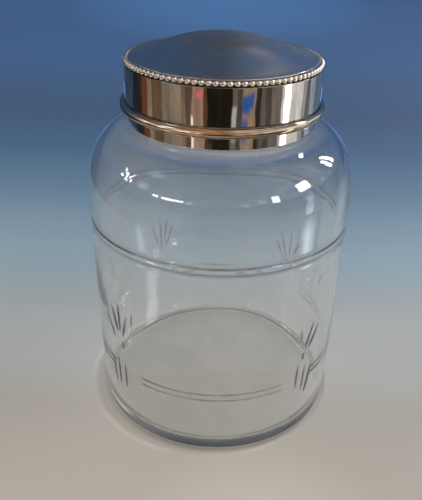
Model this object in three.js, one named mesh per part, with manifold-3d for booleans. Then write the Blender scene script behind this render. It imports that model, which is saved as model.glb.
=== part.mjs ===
// Sugar box: a straight-sided clear glass jar with a polished silver mount on its short neck and a
// domed silver lift-off lid with a beaded border. The glass is cut with line and spray decoration.
//
// Millimetres. +Z is up, the base rests on z = 0 and the common axis of all pieces is the Z axis.
// Angles of the cut decoration are counted from -Y (the side shown to the viewer) towards +X.

import * as THREE from "three";
import { mergeVertices } from "three/addons/utils/BufferGeometryUtils.js";
import Module from "manifold-3d";

const wasm = await Module();
wasm.setup();

// ---------------------------------------------------------------- driving dimensions (mm)
const FIT_GAP = 0.3; // free space kept between pieces that touch

// glass jar
const BODY_R = 53.9; // widest outer radius, at the upper cut lines
const BASE_R = 52.0; // outer radius just above the foot
const FOOT_R = 51.2; // radius of the flat underside
const FLOOR_T = 2.4; // thickness of the glass floor
const BODY_IN_R = 51.1; // widest inner radius
const SHOULDER_Z = 109.3; // where the shoulder starts to turn in
const NECK_ROOT_Z = 126.6; // top of the shoulder, where the neck starts
const NECK_R = 34.4; // outer radius of the neck
const NECK_IN_R = 31.6; // bore of the neck
const NECK_TOP_Z = 138.9; // top of the glass rim

// cut decoration
const UPPER_LINE_Z = [86.4, 89.1]; // the complete double line
const LOWER_LINE_Z = [27.1, 30.1]; // the interrupted double line
const LOWER_LINE_R = 53.2; // body radius at the lower lines
const LINE_HALF_W = 0.6; // half width of a cut line
const LINE_DEPTH = 0.38; // depth of a cut line
// the four lower arcs: middle azimuth, length in degrees, and how far the arc sits above the line height
const LOWER_ARCS = [
  [85.3, 76, 1.2],
  [178.5, 68, 0],
  [270.0, 76, 0.8],
  [358.5, 68, 0],
];
const STROKE_DEPTH = 0.5;
const OVAL_Z = 77.8; // centre of the oval cut above each spray
const OVAL_W = 7.6; // its width
const OVAL_H = 9.8; // its height
const OVAL_DEPTH = 0.55;

// silver mount
const COLLAR_R = 37.1; // outer radius of the collar
const COLLAR_IN_R = 36.3;
const COLLAR_Z0 = 127.2; // lower edge
const COLLAR_STEP_Z = 135.3; // where it steps in to the bezel
const BEZEL_R = 36.75; // outer radius of the bezel that guides the lid
const BEZEL_IN_R = 36.1;
const BEZEL_TOP_Z = 141.7;
const LIP_R = 32.2; // bore of the lip turned in over the glass rim
const LIP_Z0 = 139.2; // underside of that lip
const LIP_Z1 = 139.9;
const WIRE_R = 38.5; // centre radius of the seat wire
const WIRE_Z = 133.8; // centre height of the seat wire
const WIRE_A = 1.67; // radius of its round section

// lid
const LID_R = 38.0; // outer radius of the lid's wall
const LID_IN_R = 37.15;
const LID_Z0 = 135.7; // lower edge of the wall, on the seat wire
const LEDGE_Z = 149.3; // top of the ledge turned in at the wall's upper edge
const LEDGE_T = 0.8;
const LEDGE_R = 34.6; // bore of the ledge
const TOP_R = 35.5; // radius of the domed top's skirt
const TOP_EDGE_R = 35.85; // its upper edge, level with the tops of the beads
const TOP_EDGE_Z = 151.7; // height that the dome's curve runs out to
const TOP_APEX_Z = 159.3; // highest point
const TOP_CURVE_R = 38.1; // radius and power of the dome's ogee curve
const TOP_CURVE_K = 1.5;
const TOP_T = 0.8;
const BEAD_COUNT = 96;
const BEAD_RING_R = 37.05; // centre radius of the beaded wire
const BEAD_Z = 150.75;
const BEAD_R = 1.1;
const BEAD_LINK_R = 0.6; // radius between two beads

const SEG = 48; // facets around the glass
const SEG_METAL = 48; // facets around the silver

// ---------------------------------------------------------------- helpers
const rad = (deg) => (deg * Math.PI) / 180;

// A body of revolution about Z from [r, z] points that start and end on the axis, or close on themselves.
function turned(points, segments, closed = false) {
  const list = closed ? [...points, points[0]] : points;
  const g = new THREE.LatheGeometry(
    list.map(([r, z]) => new THREE.Vector2(r, z)),
    segments,
  );
  g.rotateX(Math.PI / 2);
  g.rotateZ(Math.PI / 2); // a corner of the facets lies on each of the X and Y axes
  return g;
}

function toSolid(geometry) {
  const bare = new THREE.BufferGeometry()
    .setAttribute("position", geometry.getAttribute("position"))
    .setIndex(geometry.index);
  const merged = mergeVertices(bare, 1e-3);
  return new wasm.Manifold(
    new wasm.Mesh({
      numProp: 3,
      vertProperties: new Float32Array(merged.attributes.position.array),
      triVerts: new Uint32Array(merged.index.array),
    }),
  );
}

function toGeometry(solid) {
  const m = solid.getMesh();
  const g = new THREE.BufferGeometry();
  const v = new Float32Array(m.numVert * 3);
  for (let i = 0; i < m.numVert; i++)
    v.set(m.vertProperties.subarray(i * m.numProp, i * m.numProp + 3), i * 3);
  g.setAttribute("position", new THREE.BufferAttribute(v, 3));
  g.setIndex(new THREE.BufferAttribute(new Uint32Array(m.triVerts), 1));
  return g;
}

// ---------------------------------------------------------------- glass jar
const lineNotch = (z, r) => [
  [r, z - LINE_HALF_W],
  [r - LINE_DEPTH, z],
  [r, z + LINE_HALF_W],
];

const jarProfile = [
  // underside and foot
  [0, 0],
  [FOOT_R, 0],
  [FOOT_R + 0.55, 0.25],
  [BASE_R, 1.0],
  // outer wall, widening a little towards the upper lines
  [52.9, 24.0],
  [53.3, 42.0],
  [53.6, 64.0],
  ...lineNotch(UPPER_LINE_Z[0], BODY_R - 0.02),
  ...lineNotch(UPPER_LINE_Z[1], BODY_R),
  [53.75, 97.0],
  [53.35, 103.5],
  // shoulder
  [52.6, SHOULDER_Z],
  [51.2, 114.4],
  [49.0, 118.6],
  [46.0, 122.0],
  [42.6, 124.6],
  [39.8, 125.9],
  [37.4, NECK_ROOT_Z - 0.15],
  [35.6, NECK_ROOT_Z + 0.25],
  [34.65, 127.6],
  [NECK_R, 128.8],
  // neck with a rounded rim
  [NECK_R, NECK_TOP_Z - 1.3],
  [NECK_R - 0.5, NECK_TOP_Z - 0.4],
  [NECK_R - 1.4, NECK_TOP_Z],
  [NECK_IN_R + 0.5, NECK_TOP_Z - 0.4],
  [NECK_IN_R, NECK_TOP_Z - 1.3],
  // inside
  [NECK_IN_R, 127.4],
  [32.1, 125.2],
  [34.0, 123.7],
  [37.6, 122.8],
  [41.4, 121.4],
  [44.4, 119.1],
  [47.0, 115.9],
  [48.8, 112.0],
  [50.1, 107.2],
  [50.8, 100.0],
  [BODY_IN_R, 88.0],
  [50.2, 30.0],
  [49.95, 18.0],
  [49.8, 10.0],
  [49.5, FLOOR_T + 3.8],
  [49.1, FLOOR_T + 2.2],
  [48.4, FLOOR_T + 1.2],
  [47.4, FLOOR_T + 0.55],
  [46.2, FLOOR_T + 0.15],
  [44.6, FLOOR_T],
  [0, FLOOR_T],
];

// Outer radius of the body wall at a height, for placing the cuts.
function wallRadius(z) {
  const w = [
    [1.0, BASE_R],
    [24, 52.9],
    [42, 53.3],
    [64, 53.6],
    [85.8, BODY_R - 0.02],
    [97, 53.75],
  ];
  for (let i = 1; i < w.length; i++)
    if (z <= w[i][0])
      return (
        w[i - 1][1] +
        ((w[i][1] - w[i - 1][1]) * (z - w[i - 1][0])) / (w[i][0] - w[i - 1][0])
      );
  return BODY_R;
}

// A point on the body wall: s mm along the wall from the angle az, at height z.
function onWall(azDeg, s, z) {
  const r = wallRadius(z);
  const a = rad(azDeg) + s / r;
  return new THREE.Vector3(r * Math.sin(a), -r * Math.cos(a), z);
}

// A tapered cut from tip to root: a four-sided spindle half sunk in the wall.
function stroke(azDeg, [s0, z0], [s1, z1], width, depth) {
  const p0 = onWall(azDeg, s0, z0);
  const p1 = onWall(azDeg, s1, z1);
  const mid = onWall(azDeg, s0 * 0.45 + s1 * 0.55, z0 * 0.45 + z1 * 0.55);
  const out = new THREE.Vector3(mid.x, mid.y, 0).normalize();
  const along = p1.clone().sub(p0).normalize();
  const side = new THREE.Vector3().crossVectors(along, out).normalize();
  const w = width / 2;
  const ring = [
    mid.clone().addScaledVector(out, 0.8),
    mid.clone().addScaledVector(side, w),
    mid.clone().addScaledVector(out, -depth),
    mid.clone().addScaledVector(side, -w),
  ];
  const pts = [
    p0.addScaledVector(out, 0.04),
    p1.addScaledVector(out, 0.04),
    ...ring,
  ];
  const v = new Float32Array(pts.length * 3);
  pts.forEach((p, i) => v.set([p.x, p.y, p.z], i * 3));
  const tri = [];
  for (let i = 0; i < 4; i++) {
    const a = 2 + i;
    const b = 2 + ((i + 1) % 4);
    tri.push(0, a, b, 1, b, a);
  }
  const m = new wasm.Manifold(
    new wasm.Mesh({
      numProp: 3,
      vertProperties: v,
      triVerts: new Uint32Array(tri),
    }),
  );
  if (m.volume() > 0) return m;
  const flipped = [];
  for (let i = 0; i < tri.length; i += 3)
    flipped.push(tri[i], tri[i + 2], tri[i + 1]);
  return new wasm.Manifold(
    new wasm.Mesh({
      numProp: 3,
      vertProperties: v,
      triVerts: new Uint32Array(flipped),
    }),
  );
}

// A shallow oval hollow.
function ovalCut(azDeg, z, w, h, depth) {
  const g = new THREE.SphereGeometry(1, 10, 6);
  g.scale(w / 2, depth * 1.2, h / 2); // sphere poles lie along Y, then across the wall
  const p = onWall(azDeg, 0, z);
  g.rotateZ(rad(azDeg));
  const out = new THREE.Vector3(p.x, p.y, 0).normalize();
  g.translate(
    p.x + out.x * depth * 0.2,
    p.y + out.y * depth * 0.2,
    p.z,
  );
  return toSolid(g);
}

// One arc of a lower line: a V groove around part of the body.
function lineArc(z, azMidDeg, lengthDeg) {
  const section = [
    [LOWER_LINE_R - LINE_DEPTH, z],
    [LOWER_LINE_R + 1.0, z - LINE_HALF_W * 2.2],
    [LOWER_LINE_R + 1.0, z + LINE_HALF_W * 2.2],
  ];
  const arc = wasm.Manifold.revolve([section], SEG, lengthDeg);
  return arc.rotate([0, 0, azMidDeg - 90 - lengthDeg / 2]);
}

// The four sprays are cut by eye, and each differs a little. A stroke is its tip and root (mm along the
// wall from the spray's angle, height) and its width: a fan above, then a small tie and stems below it.
const SPRAYS = [
  [
    43.5,
    [
      [[-8.6, 52.5], [-3.8, 44.5], 1.1],
      [[-3.4, 57.0], [-3.0, 46.0], 1.3],
      [[4.2, 57.6], [-0.4, 43.6], 1.5],
      [[7.9, 54.0], [1.4, 42.4], 1.5],
      [[-0.8, 42.4], [-0.9, 38.6], 1.9],
      [[-3.4, 40.0], [-3.5, 23.0], 1.3],
      [[1.2, 36.6], [0.4, 20.5], 1.2],
      [[5.9, 35.0], [2.9, 18.2], 2.0],
    ],
  ],
  [
    135.6,
    [
      [[9.9, 50.8], [2.3, 39.2], 1.3],
      [[6.7, 56.4], [1.0, 40.4], 1.4],
      [[-0.8, 59.3], [-0.6, 41.4], 1.4],
      [[-7.5, 54.2], [-2.7, 42.6], 1.2],
      [[-1.4, 41.0], [-2.0, 36.2], 1.6],
    ],
  ],
  [
    214.7,
    [
      [[6.9, 59.2], [2.5, 43.8], 1.1],
      [[0.5, 62.0], [1.1, 39.8], 1.4],
      [[-4.4, 60.4], [-1.1, 45.8], 1.3],
      [[-8.4, 56.8], [-1.3, 42.6], 1.3],
    ],
  ],
  [
    313.5,
    [
      [[-10.9, 54.2], [-3.8, 43.4], 1.3],
      [[-6.1, 60.0], [-1.3, 47.4], 1.5],
      [[-0.7, 63.2], [-0.2, 47.8], 1.5],
      [[4.7, 59.0], [1.4, 46.2], 1.4],
      [[7.8, 62.0], [7.0, 53.4], 1.0],
      [[1.5, 44.0], [1.2, 39.6], 1.9],
      [[-7.6, 33.4], [-5.6, 17.8], 1.4],
      [[-3.0, 36.0], [-2.4, 18.8], 1.4],
      [[1.8, 33.6], [1.9, 19.2], 1.4],
    ],
  ],
];

function makeJar() {
  let jar = toSolid(turned(jarProfile, SEG));
  const cuts = [];
  for (const [az, strokes] of SPRAYS) {
    for (const [a, b, w] of strokes) cuts.push(stroke(az, a, b, w, STROKE_DEPTH));
    cuts.push(ovalCut(az, OVAL_Z, OVAL_W, OVAL_H, OVAL_DEPTH));
  }
  for (const [az, length, lift] of LOWER_ARCS)
    for (const z of LOWER_LINE_Z) cuts.push(lineArc(z + lift, az, length));
  for (const c of cuts) jar = jar.subtract(c);
  return toGeometry(jar);
}

// ---------------------------------------------------------------- neck setting
// Plaster ring that fills the space between the glass neck and the silver collar.
const cementProfile = [
  [NECK_R + FIT_GAP + 0.05, 128.9],
  [COLLAR_IN_R - FIT_GAP, 128.9],
  [COLLAR_IN_R - FIT_GAP, NECK_TOP_Z - 0.4],
  [NECK_R + FIT_GAP + 0.05, NECK_TOP_Z - 0.4],
];

// Collar: plain band below the wire, bezel above it, and a lip turned in over the glass rim.
const collarProfile = [
  [COLLAR_IN_R, COLLAR_Z0 + 0.15],
  [COLLAR_IN_R + 0.2, COLLAR_Z0],
  [COLLAR_R - 0.2, COLLAR_Z0],
  [COLLAR_R, COLLAR_Z0 + 0.3],
  [COLLAR_R, COLLAR_STEP_Z - 0.15],
  [BEZEL_R, COLLAR_STEP_Z + 0.2],
  [BEZEL_R, BEZEL_TOP_Z - 0.35],
  [(BEZEL_R + BEZEL_IN_R) / 2, BEZEL_TOP_Z],
  [BEZEL_IN_R, BEZEL_TOP_Z - 0.35],
  [BEZEL_IN_R, LIP_Z1],
  [LIP_R + 0.25, LIP_Z1],
  [LIP_R, (LIP_Z0 + LIP_Z1) / 2],
  [LIP_R + 0.25, LIP_Z0],
  [COLLAR_IN_R, LIP_Z0],
];

// Seat wire: round section with a flat where it is soldered to the collar.
function wireProfile() {
  const flat = COLLAR_R + FIT_GAP;
  const a = Math.acos((flat - WIRE_R) / WIRE_A); // angle of the flat's corners
  const pts = [];
  const n = 8;
  for (let i = 0; i <= n; i++) {
    const t = -a + (2 * a * i) / n;
    pts.push([WIRE_R + WIRE_A * Math.cos(t), WIRE_Z + WIRE_A * Math.sin(t)]);
  }
  return pts;
}

// ---------------------------------------------------------------- lid
const lidWallProfile = [
  [LID_IN_R, LID_Z0 + 0.15],
  [LID_IN_R + 0.2, LID_Z0],
  [LID_R - 0.2, LID_Z0],
  [LID_R, LID_Z0 + 0.2],
  [LID_R, LEDGE_Z - 0.25],
  [LID_R - 0.25, LEDGE_Z],
  [LEDGE_R, LEDGE_Z],
  [LEDGE_R, LEDGE_Z - LEDGE_T],
  [LID_IN_R, LEDGE_Z - LEDGE_T],
];

// Height of the domed top: convex in the middle, running out flat at the rim.
const domeZ = (r) =>
  TOP_EDGE_Z +
  (TOP_APEX_Z - TOP_EDGE_Z) *
    Math.cos((Math.PI / 2) * (r / TOP_CURVE_R) ** TOP_CURVE_K) ** 2;

function lidTopProfile() {
  const seat = LEDGE_Z + FIT_GAP;
  const pts = [];
  const skirt = TOP_R - TOP_T;
  for (const r of [0, 8, 15, 21, 26, 30]) pts.push([r, domeZ(r) - TOP_T]);
  pts.push([skirt, domeZ(skirt) - TOP_T], [skirt, seat], [TOP_R, seat]);
  pts.push([TOP_R, TOP_EDGE_Z - 0.4], [TOP_EDGE_R, TOP_EDGE_Z]);
  for (const r of [TOP_R, 30, 26, 21, 15, 8, 0]) pts.push([r, domeZ(r)]);
  return pts;
}

// Beaded wire: one ring whose round section swells at each bead.
function beadRing() {
  const stations = [];
  const pitch = (2 * Math.PI * BEAD_RING_R) / BEAD_COUNT;
  for (let i = 0; i < BEAD_COUNT; i++)
    for (const t of [-0.5, -0.22, 0.22]) {
      const d = t * pitch;
      const a = Math.max(
        BEAD_LINK_R,
        Math.sqrt(Math.max(0, BEAD_R ** 2 - d * d)),
      );
      stations.push([(2 * Math.PI * (i + t)) / BEAD_COUNT, a]);
    }
  const sides = 5;
  const v = [];
  const tri = [];
  stations.forEach(([phi, a]) => {
    for (let k = 0; k < sides; k++) {
      const th = (2 * Math.PI * k) / sides + Math.PI / 2;
      const r = BEAD_RING_R + a * Math.cos(th);
      v.push(r * Math.cos(phi), r * Math.sin(phi), BEAD_Z + a * Math.sin(th));
    }
  });
  const n = stations.length;
  for (let i = 0; i < n; i++)
    for (let k = 0; k < sides; k++) {
      const a = i * sides + k;
      const b = i * sides + ((k + 1) % sides);
      const c = ((i + 1) % n) * sides + k;
      const d = ((i + 1) % n) * sides + ((k + 1) % sides);
      tri.push(a, c, b, b, c, d);
    }
  const g = new THREE.BufferGeometry();
  g.setAttribute(
    "position",
    new THREE.BufferAttribute(new Float32Array(v), 3),
  );
  g.setIndex(tri);
  return g;
}

// ---------------------------------------------------------------- assembly
const silver = (color, roughness) =>
  new THREE.MeshStandardMaterial({ color, roughness, metalness: 1 });

const group = new THREE.Group();
group.name = "sugar_box";

function add(name, geometry, material) {
  geometry.computeVertexNormals();
  const mesh = new THREE.Mesh(geometry, material);
  mesh.name = name;
  group.add(mesh);
}

add(
  "glass_jar",
  makeJar(),
  new THREE.MeshStandardMaterial({
    color: 0xdce8e8,
    roughness: 0.05,
    metalness: 0,
    transparent: true,
    opacity: 0.35,
  }),
);
add(
  "cement_ring",
  turned(cementProfile, SEG_METAL, true),
  new THREE.MeshStandardMaterial({
    color: 0xd8d2c4,
    roughness: 0.9,
    metalness: 0,
  }),
);
add("collar_band", turned(collarProfile, SEG_METAL, true), silver(0xe4ddd2, 0.12));
add("seat_wire", turned(wireProfile(), SEG_METAL, true), silver(0xe0cdb8, 0.14));
add("lid_wall", turned(lidWallProfile, SEG_METAL, true), silver(0xe6e0d6, 0.08));
add("lid_top", turned(lidTopProfile(), SEG_METAL), silver(0xdfe0e2, 0.12));
add("bead_wire", beadRing(), silver(0xe6d9c4, 0.16));

export default group;
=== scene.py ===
import math

import bpy
import numpy as np
from mathutils import Matrix, Vector


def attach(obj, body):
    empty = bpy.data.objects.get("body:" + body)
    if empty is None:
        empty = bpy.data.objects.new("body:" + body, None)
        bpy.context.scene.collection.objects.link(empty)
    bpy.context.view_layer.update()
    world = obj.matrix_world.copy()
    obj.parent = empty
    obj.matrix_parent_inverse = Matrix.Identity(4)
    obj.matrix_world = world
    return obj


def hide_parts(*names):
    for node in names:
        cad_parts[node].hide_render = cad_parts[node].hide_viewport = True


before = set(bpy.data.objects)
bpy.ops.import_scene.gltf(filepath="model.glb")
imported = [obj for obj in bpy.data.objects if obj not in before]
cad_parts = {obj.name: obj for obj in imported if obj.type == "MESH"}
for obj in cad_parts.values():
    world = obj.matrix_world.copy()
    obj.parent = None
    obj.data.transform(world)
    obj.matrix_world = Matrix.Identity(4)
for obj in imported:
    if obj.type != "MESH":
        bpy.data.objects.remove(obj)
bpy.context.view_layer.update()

MM = 0.001
rad = math.radians

# ------------------------------------------------------------------ helpers: geometry


def make_mesh(name, verts, faces, material, body, node, smooth=True):
    """verts in mm. The piece rides on a body and stands for a node."""
    me = bpy.data.meshes.new(name)
    me.from_pydata((np.asarray(verts) * MM).tolist(), [], faces)
    me.validate()
    me.polygons.foreach_set("use_smooth", [smooth] * len(me.polygons))
    me.update()
    ob = bpy.data.objects.new(name, me)
    bpy.context.scene.collection.objects.link(ob)
    me.materials.append(material)
    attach(ob, body)
    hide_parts(node)
    return ob


def grid_faces(rows, cols, closed_rows=False):
    """Quads of a grid whose columns wrap round."""
    i = np.arange(rows if closed_rows else rows - 1)
    j = np.arange(cols)
    a, b = np.meshgrid(i, j, indexing="ij")
    a2, b2 = (a + 1) % rows, (b + 1) % cols
    q = np.stack([a * cols + b, a * cols + b2, a2 * cols + b2, a2 * cols + b], -1)
    return q.reshape(-1, 4)


def revolve(profile, az, radial=None):
    """profile: (n, 2) of r, z. It starts and ends on the axis, or is a closed loop.
    radial(az, z, r) -> change of radius in mm."""
    profile = np.asarray(profile, float)
    on_axis = profile[0, 0] < 1e-9
    ring = profile[1:-1] if on_axis else profile
    r = np.repeat(ring[:, :1], len(az), 1)
    z = np.repeat(ring[:, 1:], len(az), 1)
    a = np.repeat(az[None, :], len(ring), 0)
    if radial is not None:
        r = r + radial(a, z, r)
    v = np.stack([r * np.sin(a), -r * np.cos(a), z], -1).reshape(-1, 3)
    n, m = len(ring), len(az)
    faces = grid_faces(n, m, closed_rows=not on_axis).tolist()
    if on_axis:
        v = np.vstack([v, [[0, 0, profile[0, 1]], [0, 0, profile[-1, 1]]]])
        s, e = n * m, n * m + 1
        for j in range(m):
            k = (j + 1) % m
            faces.append([s, k, j])
            faces.append([(n - 1) * m + j, (n - 1) * m + k, e])
    return v, faces


def polyline(points, step):
    """Adds points so that no step along the line is longer than step (mm)."""
    out = [points[0]]
    for p, q in zip(points[:-1], points[1:]):
        d = math.dist(p, q)
        n = max(1, int(math.ceil(d / step)))
        for k in range(1, n + 1):
            out.append((p[0] + (q[0] - p[0]) * k / n, p[1] + (q[1] - p[1]) * k / n))
    return out


def curve_through(points, step):
    """Centripetal Catmull-Rom curve through the points, resampled to about step (mm)."""
    p = np.asarray(points, float)
    p = np.vstack([2 * p[0] - p[1], p, 2 * p[-1] - p[-2]])
    fine = []
    for i in range(1, len(p) - 2):
        p0, p1, p2, p3 = p[i - 1 : i + 3]
        t0 = 0.0
        t1 = t0 + max(1e-6, np.linalg.norm(p1 - p0) ** 0.5)
        t2 = t1 + max(1e-6, np.linalg.norm(p2 - p1) ** 0.5)
        t3 = t2 + max(1e-6, np.linalg.norm(p3 - p2) ** 0.5)
        for t in np.linspace(t1, t2, 24, endpoint=False):
            a1 = (t1 - t) / (t1 - t0) * p0 + (t - t0) / (t1 - t0) * p1
            a2 = (t2 - t) / (t2 - t1) * p1 + (t - t1) / (t2 - t1) * p2
            a3 = (t3 - t) / (t3 - t2) * p2 + (t - t2) / (t3 - t2) * p3
            b1 = (t2 - t) / (t2 - t0) * a1 + (t - t0) / (t2 - t0) * a2
            b2 = (t3 - t) / (t3 - t1) * a2 + (t - t1) / (t3 - t1) * a3
            fine.append((t2 - t) / (t2 - t1) * b1 + (t - t1) / (t2 - t1) * b2)
    fine.append(p[-2])
    fine = np.array(fine)
    if step is None:
        return fine
    s = np.concatenate([[0], np.cumsum(np.linalg.norm(np.diff(fine, axis=0), axis=1))])
    n = max(2, int(round(s[-1] / step)) + 1)
    t = np.linspace(0, s[-1], n)
    return np.stack([np.interp(t, s, fine[:, 0]), np.interp(t, s, fine[:, 1])], 1)


def rounded_loop(corners, step=1.6, segments=5):
    """Closed loop of (r, z, radius): each corner rounded, with a support point beside each arc."""
    pts = []
    n = len(corners)
    for i in range(n):
        p = np.array(corners[i][:2], float)
        a = np.array(corners[i - 1][:2], float)
        b = np.array(corners[(i + 1) % n][:2], float)
        rad_ = corners[i][2] if len(corners[i]) > 2 else 0.15
        da, db = a - p, b - p
        la, lb = np.linalg.norm(da), np.linalg.norm(db)
        da, db = da / la, db / lb
        ang = math.acos(max(-1, min(1, float(da @ db))))
        cut = min(rad_ / math.tan(ang / 2), 0.42 * la, 0.42 * lb)
        if ang > rad(170):
            pts.append(tuple(p))
            continue
        r_eff = cut * math.tan(ang / 2)
        mid = (da + db) / np.linalg.norm(da + db)
        c = p + mid * (r_eff / math.sin(ang / 2))
        s, e = p + da * cut, p + db * cut
        pts.append(tuple(s + da * min(0.12, 0.05 * la)))
        u, w = s - c, e - c
        tot = math.acos(max(-1, min(1, float(u @ w) / (r_eff * r_eff))))
        for k in range(segments + 1):
            t = k / segments
            v = (math.sin((1 - t) * tot) * u + math.sin(t * tot) * w) / math.sin(tot)
            pts.append(tuple(c + v))
        pts.append(tuple(e + db * min(0.12, 0.05 * lb)))
    pts.append(pts[0])
    return np.array(polyline(pts, step)[:-1])


# ------------------------------------------------------------------ helpers: materials


class Tree:
    """A short way to write node materials."""

    def __init__(self, name):
        self.mat = bpy.data.materials.new(name)
        self.mat.use_nodes = True
        self.nt = self.mat.node_tree
        self.nt.nodes.clear()
        self.out = self.nt.nodes.new("ShaderNodeOutputMaterial")

    def node(self, kind, **inputs):
        n = self.nt.nodes.new(kind)
        for k, v in inputs.items():
            if k.startswith("_"):
                setattr(n, k[1:], v)
        for k, v in inputs.items():
            if not k.startswith("_"):
                self.put(n, k, v)
        return n

    def put(self, n, key, value):
        sock = n.inputs[int(key[1:])] if key[0] == "i" and key[1:].isdigit() else n.inputs[key.replace("__", " ")]
        if isinstance(value, bpy.types.NodeSocket):
            self.nt.links.new(value, sock)
        else:
            sock.default_value = value

    def noise(self, vec, scale, detail=3.0, rough=0.5, lac=2.0):
        n = self.node("ShaderNodeTexNoise", Vector=vec, Scale=scale, Detail=detail, Roughness=rough, Lacunarity=lac)
        return n.outputs["Fac"]

    def scaled(self, vec, x, y, z):
        return self.node("ShaderNodeMapping", Vector=vec, Scale=(x, y, z)).outputs[0]

    def span(self, value, lo, hi, a=0.0, b=1.0):
        n = self.node("ShaderNodeMapRange", Value=value)
        n.inputs["From Min"].default_value = lo
        n.inputs["From Max"].default_value = hi
        n.inputs["To Min"].default_value = a
        n.inputs["To Max"].default_value = b
        return n.outputs[0]

    def math(self, op, a, b=0.0):
        return self.node("ShaderNodeMath", _operation=op, i0=a, i1=b).outputs[0]

    def mix(self, fac, a, b):
        n = self.node("ShaderNodeMix", _data_type="RGBA")
        for sock, v in ((n.inputs[0], fac), (n.inputs[6], a), (n.inputs[7], b)):
            if isinstance(v, bpy.types.NodeSocket):
                self.nt.links.new(v, sock)
            else:
                sock.default_value = v
        return n.outputs[2]

    def coords(self):
        return self.node("ShaderNodeTexCoord").outputs["Object"]

    def finish(self, shader):
        self.nt.links.new(shader, self.out.inputs["Surface"])
        return self.mat


def rgb(r, g, b):
    return (r, g, b, 1.0)


def silver(name, clean, worn, rough=(0.05, 0.12), worn_amount=0.35, haze=0.0, scratch=0.35, bump=0.05, painted_shade_heights=(), painted_dim_stretch=()):
    """Polished silver: slightly warm, with thin tarnish, fine polishing lines round the axis and a few scratches.
    Painted shade by height: (from, to) heights in mm; a dark brown painted shade, broken a little by noise, thickens
    from the first to the second.
    Painted dimming along X: (start, full, still full, end) in mm and an amount; a stretch painted darker, painted
    shade that tones down a bright reflection there."""
    t = Tree(name)
    v = t.coords()
    cloud = t.noise(v, 55.0, 4.0, 0.6)
    fine = t.noise(v, 420.0, 3.0, 0.6)
    tarnish = t.math("MULTIPLY", t.span(cloud, 0.42, 0.72), worn_amount)
    tarnish = t.math("ADD", tarnish, t.math("MULTIPLY", t.span(fine, 0.55, 0.75), worn_amount * 0.4))
    colour = t.mix(tarnish, rgb(*clean), rgb(*worn))
    height_z = t.node("ShaderNodeSeparateXYZ", Vector=v).outputs[2]
    # painted shade: dark bands by height where the part sits under or beside another part
    for z0, z1 in painted_shade_heights:
        painted_shade_mask = t.math("MULTIPLY", t.span(height_z, z0 * MM, z1 * MM), t.span(fine, 0.3, 0.7, 0.6, 1.0))
        colour = t.mix(painted_shade_mask, colour, rgb(0.085, 0.055, 0.038))
    # painted shade: a stretch along X painted darker, toning down a bright reflection there
    if painted_dim_stretch:
        side = t.node("ShaderNodeSeparateXYZ", Vector=v).outputs[0]
        amount = t.math("MULTIPLY", t.span(side, painted_dim_stretch[0] * MM, painted_dim_stretch[1] * MM), t.span(side, painted_dim_stretch[2] * MM, painted_dim_stretch[3] * MM, 1.0, 0.0))
        colour = t.mix(t.math("MULTIPLY", amount, painted_dim_stretch[4]), colour, rgb(0.10, 0.065, 0.042))
    # polishing lines run round the axis, so the noise is stretched along the circumference
    lines = t.noise(t.scaled(v, 60.0, 60.0, 2600.0), 1.0, 2.0, 0.7)
    cross = t.noise(t.scaled(v, 900.0, 260.0, 120.0), 1.0, 2.0, 0.6)
    swirl = t.math("ADD", t.math("MULTIPLY", lines, 0.6), t.math("MULTIPLY", cross, 0.4))
    r = t.span(t.math("ADD", t.math("MULTIPLY", cloud, 0.5), t.math("MULTIPLY", swirl, 0.5)), 0.35, 0.65, rough[0] + haze, rough[1] + haze)
    # sparse fine scratches
    sc = t.node("ShaderNodeTexVoronoi", _feature="DISTANCE_TO_EDGE", Vector=t.scaled(v, 130.0, 520.0, 260.0), Scale=1.0).outputs["Distance"]
    scr = t.math("MULTIPLY", t.span(sc, 0.0, 0.018, 1.0, 0.0), t.span(t.noise(v, 90.0, 2.0), 0.52, 0.62))
    r = t.math("ADD", r, t.math("MULTIPLY", scr, scratch * 0.2))
    h = t.math("ADD", t.math("MULTIPLY", swirl, 0.5), t.math("MULTIPLY", scr, -0.4))
    b = t.node("ShaderNodeBump", Strength=bump, Distance=0.00002, Height=h)
    p = t.node("ShaderNodeBsdfPrincipled", Roughness=r, Metallic=1.0)
    t.put(p, "Base__Color", colour)
    t.put(p, "Normal", b.outputs[0])
    return t.finish(p.outputs[0])


# ------------------------------------------------------------------ camera (fitted to the photograph)

R_LID = 38.0
CAM_D, CAM_H = 6.5745 * R_LID, 5.4704 * R_LID
PITCH, YAW, ROLL = 0.5141, -0.0037, 0.0277
FOCAL_PX, CENTRE_X, CENTRE_Y = 647.92, 215.95, 250.3

right = Vector((math.cos(YAW), -math.sin(YAW), 0))
fwd = Vector((math.sin(YAW) * math.cos(PITCH), math.cos(YAW) * math.cos(PITCH), -math.sin(PITCH)))
up = Vector((math.sin(YAW) * math.sin(PITCH), math.cos(YAW) * math.sin(PITCH), math.cos(PITCH)))
right_r = right * math.cos(ROLL) + up * math.sin(ROLL)
up_r = up * math.cos(ROLL) - right * math.sin(ROLL)
cam_data = bpy.data.cameras.new("camera")
cam_data.sensor_width = 36.0
cam_data.lens = FOCAL_PX * 36.0 / 500.0
cam_data.shift_x = -(CENTRE_X - 211.0) / 500.0
cam_data.shift_y = (CENTRE_Y - 250.0) / 500.0
cam_data.clip_start, cam_data.clip_end = 0.01, 50.0
camera = bpy.data.objects.new("camera", cam_data)
bpy.context.scene.collection.objects.link(camera)
m = Matrix((right_r, up_r, -fwd)).transposed().to_4x4()
m.translation = Vector((0, -CAM_D * MM, CAM_H * MM))
camera.matrix_world = m
bpy.context.scene.camera = camera

# ------------------------------------------------------------------ glass jar

UPPER = (86.4, 89.1)
LOWER = (27.1, 30.1)
# the lower arcs: middle azimuth, half length (degrees), height above the lines' own
ARCS = [(85.3, 38.0, 1.2), (178.5, 34.0, 0.0), (270.0, 38.0, 0.8), (358.5, 34.0, 0.0)]
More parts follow.
